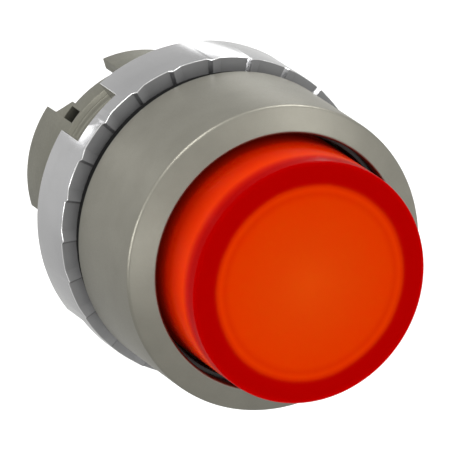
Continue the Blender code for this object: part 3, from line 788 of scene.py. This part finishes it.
def make_ring_nut():
    """The toothed nut: its tooth faces are duller than the rest, and its edges carry a painted highlight."""
    ceiling = NUT_BACK + NUT_SLOT_DEPTH
    slots = []
    for i in range(NUT_SLOTS):
        centre = NUT_TURN + (i + 0.5) * FULL_TURN / NUT_SLOTS
        start, end = centre - NUT_SLOT_HALF_ANGLE, centre + NUT_SLOT_HALF_ANGLE
        slots.append(block(start, end, ceiling, NUT_BACK - OVERCUT))
    mesh = combined(nut_blank(), sectors(slots, NUT_BORE_R - OVERCUT, NUT_R + 2 * OVERCUT))
    just_past = 0.05  # takes in the edges of the slots' ceilings
    break_edges(mesh, NUT_EDGE_R, behind=ceiling + just_past, segments=3)
    nut = finish_piece("ring_nut", mesh, "nut")
    nut.data.set_sharp_from_angle(angle=NUT_SMOOTH_ANGLE)
    nut.data.materials.append(FACED_METAL)
    nut.data.materials.append(EDGE_HIGHLIGHT_METAL)
    tooth_face = 0.8  # a tooth's faces look forward by at least this share of their normal
    edge_least, edge_most = 0.25, 0.97  # a rounded edge looks outward by a share between these
    for polygon in nut.data.polygons:
        depth = -polygon.center.y / MM
        outward = Vector((polygon.center.x, 0.0, polygon.center.z)).normalized()
        if polygon.normal.y < -tooth_face and depth > NUT_FRONT - 2 * TOOTH_HEIGHT:
            polygon.material_index = 1
        # rounded edges take the pale metal, a painted highlight along them
        elif edge_least < polygon.normal.dot(outward) < edge_most:
            polygon.material_index = 2
    return nut


# ---- the button itself -------------------------------------------------------------------------------------


def cup(node, outer_r, edge_r, wall, front_wall):
    """A round cap with a closed front and an open back."""
    front_depth = front(node)
    corners = [
        (0.0, front_depth),
        (outer_r, front_depth, edge_r),
        (outer_r, back(node), 0.1),
        (outer_r - wall, back(node), 0.1),
        (outer_r - wall, front_depth - front_wall, 0.4),
        (0.0, front_depth - front_wall),
    ]
    mesh = lathe(rounded(corners, closed=False, segments=8), closed=False, steps=2 * STEPS)
    return finish_piece(node, mesh, "button")


def head_core_r(depth):
    """Radius of the light cone inside the plunger's head."""
    share = (depth - HEAD_BACK) / (HEAD_FRONT - HEAD_BACK)
    return CORE_R + share * (HEAD_R - HEAD_RIM_W - CORE_R)


def make_plunger():
    lens_floor = LENS_BORE_R - 2 * LENS_SEAL_CORD_R - 2 * GAP
    seal_floor = BORE_R - 2 * PLUNGER_SEAL_CORD_R - 2 * GAP
    body_r = HEAD_R - HEAD_RELIEF
    step = LENS_BACK - GAP
    guide_back = back("rear_guide")
    corners = [
        (HEAD_R, HEAD_FRONT, 0.15),
        *groove(HEAD_R, lens_floor, front("lens_seal") + GAP, back("lens_seal") - GAP),
        (HEAD_R, step, 0.02),
        (body_r, step, 0.02),
        *groove(body_r, seal_floor, front("plunger_seal") + GAP, back("plunger_seal") - GAP),
        (body_r, HEAD_BACK, 0.15),
        (TUBE_R, HEAD_BACK, 0.25),
        (TUBE_R, guide_back, 0.1),
        (SPIGOT_R, guide_back, 0.1),
        *groove(SPIGOT_R, SPIGOT_R - CLIP_GROOVE, front("pusher_clip") + GAP, back("pusher_clip") - GAP),
        (SPIGOT_R, PLUNGER_END, 0.15),
        (CORE_R, PLUNGER_END, 0.2),
        (CORE_R, HEAD_BACK, 0.5),
        (head_core_r(HEAD_FRONT), HEAD_FRONT, 0.15),
    ]
    mesh = lathe(rounded(corners, segments=3))
    half = math.degrees(RIB_W / 2 / TUBE_R)
    ribs = [block(centre - half, centre + half, RIB_FRONT, guide_back) for centre in RIB_ANGLES]
    rib_root_r = TUBE_R - 0.5
    mesh = combined(mesh, sectors(ribs, rib_root_r, TUBE_R + RIB_H), "UNION")
    return finish_piece("plunger", mesh, "button")


def make_reflector():
    front_depth = front("reflector")
    back_depth = back("reflector")
    outer_front = head_core_r(front_depth) - GAP
    outer_back = head_core_r(back_depth) - GAP
    corners = [
        (outer_front, front_depth, 0.12),
        (outer_back, back_depth, 0.12),
        (outer_back - REFLECTOR_WALL, back_depth, 0.12),
        (outer_front - REFLECTOR_WALL, front_depth, 0.12),
    ]
    return finish_piece("reflector", lathe(rounded(corners)), "button")


def make_button_rings():
    node = "spring_washer"
    finish_piece(node, ring(outer(node), TUBE_R + GAP, front(node), back(node), 0.08), "button")
    seals = (("lens_seal", LENS_SEAL_CORD_R, LENS_BORE_R), ("plunger_seal", PLUNGER_SEAL_CORD_R, BORE_R))
    for node, cord_r, wall_r in seals:
        seal = cord(wall_r - GAP - cord_r, (front(node) + back(node)) / 2, cord_r)
        finish_piece(node, seal, "button")


def make_pusher_ring():
    """A ring on the plunger's spigot with two curved legs."""
    ring_r = outer("pusher_ring")
    ring_front = front("pusher_ring")
    ring_back = ring_front - PUSHER_T
    leg_r = ring_r - PUSHER_LEG_INSET
    half = PUSHER_LEG_HALF_ANGLE
    mesh = ring(ring_r, SPIGOT_R + GAP, ring_front, ring_back, 0.12)
    middle = (ring_front + ring_back) / 2
    for centre in (0, 180):
        leg = ring(leg_r, leg_r - PUSHER_LEG_WALL, middle, back("pusher_ring"), 0.15,
                   start=centre - half, sweep=2 * half)
        mesh = combined(mesh, leg, "UNION")
    return finish_piece("pusher_ring", mesh, "button")


def make_return_spring():
    """A round-wire spring with closed ends."""
    front_depth = front("return_spring")
    back_depth = back("return_spring")
    first = front_depth - SPRING_WIRE_R
    last = back_depth + SPRING_WIRE_R
    dead = SPRING_DEAD_TURNS
    rise = 2 * SPRING_WIRE_R * dead * SPRING_DEAD_ROOM
    per_turn = 40
    count = SPRING_TURNS * per_turn
    sides = 12
    columns = []
    for i in range(count + 1):
        turns = i / per_turn
        if turns < dead:
            depth = first - rise * turns / dead
        elif turns > SPRING_TURNS - dead:
            depth = last + rise * (SPRING_TURNS - turns) / dead
        else:
            share = (turns - dead) / (SPRING_TURNS - 2 * dead)
            depth = (first - rise) + (last + rise - first + rise) * share
        column = []
        for j in range(sides):
            turn = 2 * math.pi * j / sides
            wire_r = SPRING_MEAN_R + SPRING_WIRE_R * math.cos(turn)
            column.append(place(wire_r, FULL_TURN * turns, depth + SPRING_WIRE_R * math.sin(turn)))
        columns.append(column)
    mesh = grid_mesh(columns, closed_profile=True, caps=True)
    spring = finish_piece("return_spring", mesh, "button")
    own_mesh(spring)
    return spring


# ---- stage -------------------------------------------------------------------------------------------------

CAMERA_SENSOR = 36.0
CAMERA_LENS = 800.0
CAMERA_CLIP_END = 50.0
CAMERA_RIGHT = Vector((0.90188, -0.40166, 0.15903))
CAMERA_UP = Vector((-0.0446, 0.27958, 0.95909))
CAMERA_TARGET = Vector((0.0, -1.3, 0.0)) * MM
CAMERA_DISTANCE = 934.1 * MM
CAMERA_MOVED_RIGHT = 0.152 * MM
CAMERA_MOVED_DOWN = 0.180 * MM

FLOOR_SIZE = 6.0
FLOOR_HEIGHT = -40 * MM
FLOOR_GLOW = 0.08

LIGHTS = (  # name, place in metres, power in watts, side in metres
    ("front_top", (0.43, -0.64, 0.64), 1.3, 0.50),
    ("front_left", (-0.54, -0.81, -0.20), 0.6, 0.40),
    ("left", (-1.0, 0.05, -0.1), 3.0, 0.35),
    ("top_left", (-0.62, 0.05, 0.80), 3.4, 0.40),
    ("top", (0.35, 0.20, 0.90), 3.0, 0.40),
    ("back_panel", (0.555, 1.31, 0.48), 0.35, 0.26),
    ("back_strip", (-0.66, 1.31, 0.32), 0.22, 0.16),
)


def make_camera():
    """A long lens, in front of the part, high and to its left, and a little rolled."""
    data = bpy.data.cameras.new("camera")
    data.sensor_width = CAMERA_SENSOR
    data.lens = CAMERA_LENS
    data.clip_end = CAMERA_CLIP_END
    camera = bpy.data.objects.new("camera", data)
    bpy.context.scene.collection.objects.link(camera)
    towards = CAMERA_RIGHT.cross(CAMERA_UP).normalized()
    location = CAMERA_TARGET + towards * CAMERA_DISTANCE
    location += CAMERA_RIGHT * CAMERA_MOVED_RIGHT - CAMERA_UP * CAMERA_MOVED_DOWN
    rows = zip(CAMERA_RIGHT, CAMERA_UP, towards, location)
    camera.matrix_world = Matrix((*rows, (0, 0, 0, 1)))
    bpy.context.scene.camera = camera


def make_floor():
    """A wide pale floor under the part, with a softly uneven tone. Reflections don't show it."""
    mesh = bmesh.new()
    bmesh.ops.create_grid(mesh, x_segments=8, y_segments=8, size=FLOOR_SIZE)
    floor = to_object("floor", mesh)
    floor.location.z = FLOOR_HEIGHT
    material, tree, shader = new_material("floor_paper", specular=0.0)
    tone = noise(tree, object_coordinates(tree), 0.02)
    stops = [(0.3, (0.93, 0.93, 0.93)), (0.7, (0.95, 0.95, 0.95))]
    link(tree, ramp(tree, tone, stops), shader.inputs["Base Color"])
    shader.inputs["Roughness"].default_value = 1.0
    shader.inputs["Emission Color"].default_value = (1, 1, 1, 1)
    shader.inputs["Emission Strength"].default_value = FLOOR_GLOW
    floor.data.materials.append(material)
    floor.visible_glossy = False


def make_world():
    """Soft studio surroundings, darker below the horizon and brighter in front."""
    world = bpy.data.worlds.new("studio")
    bpy.context.scene.world = world
    world.use_nodes = True
    tree = world.node_tree
    background = tree.nodes["Background"]
    coordinates = tree.nodes.new("ShaderNodeTexCoord")
    split = tree.nodes.new("ShaderNodeSeparateXYZ")
    link(tree, coordinates.outputs["Generated"], split.inputs["Vector"])
    height = remap(tree, split.outputs["Z"], 0.0, 1.0, -1.0, 1.0)
    heights = [(0.0, 0.62), (0.27, 0.64), (0.38, 0.80), (0.50, 0.84), (0.62, 0.80), (0.75, 0.70), (1.0, 0.80)]
    tone = ramp(tree, height, [(position, (level, level, level * 0.985)) for position, level in heights])
    forward = remap(tree, split.outputs["Y"], 1.20, 1.0, -1.0, 0.2)
    link(tree, tone, background.inputs["Color"])
    link(tree, forward, background.inputs["Strength"])


def make_lights():
    """Square area lights that all face the part."""
    for name, location, power, size in LIGHTS:
        data = bpy.data.lights.new(name, "AREA")
        data.energy = power
        data.shape = "RECTANGLE"
        data.size = size
        data.size_y = size
        lamp = bpy.data.objects.new(name, data)
        lamp.location = location
        lamp.rotation_euler = (-Vector(location)).to_track_quat("-Z", "Y").to_euler()
        bpy.context.scene.collection.objects.link(lamp)


bpy.context.scene.view_settings.view_transform = "Standard"
make_camera()
make_floor()
make_world()
make_lights()

make_bezel()
make_guide_bush()
make_wiper_seal()
make_housing_rings()
make_barrel()
make_rear_guide()
split_ring("guide_circlip", REAR_BORE_R - CIRCLIP_REACH, CIRCLIP_SPLIT_ANGLE, "housing")
make_ring_nut()
cup("lens_cap", LENS_R, LENS_EDGE_R, LENS_R - LENS_BORE_R, LENS_FRONT_T)
cup("diffuser", outer("diffuser"), DIFFUSER_EDGE_R, DIFFUSER_WALL, DIFFUSER_WALL)
make_plunger()
make_reflector()
make_button_rings()
make_pusher_ring()
split_ring("pusher_clip", SPIGOT_R - CLIP_BITE, CLIP_SPLIT_ANGLE, "button")
make_return_spring()
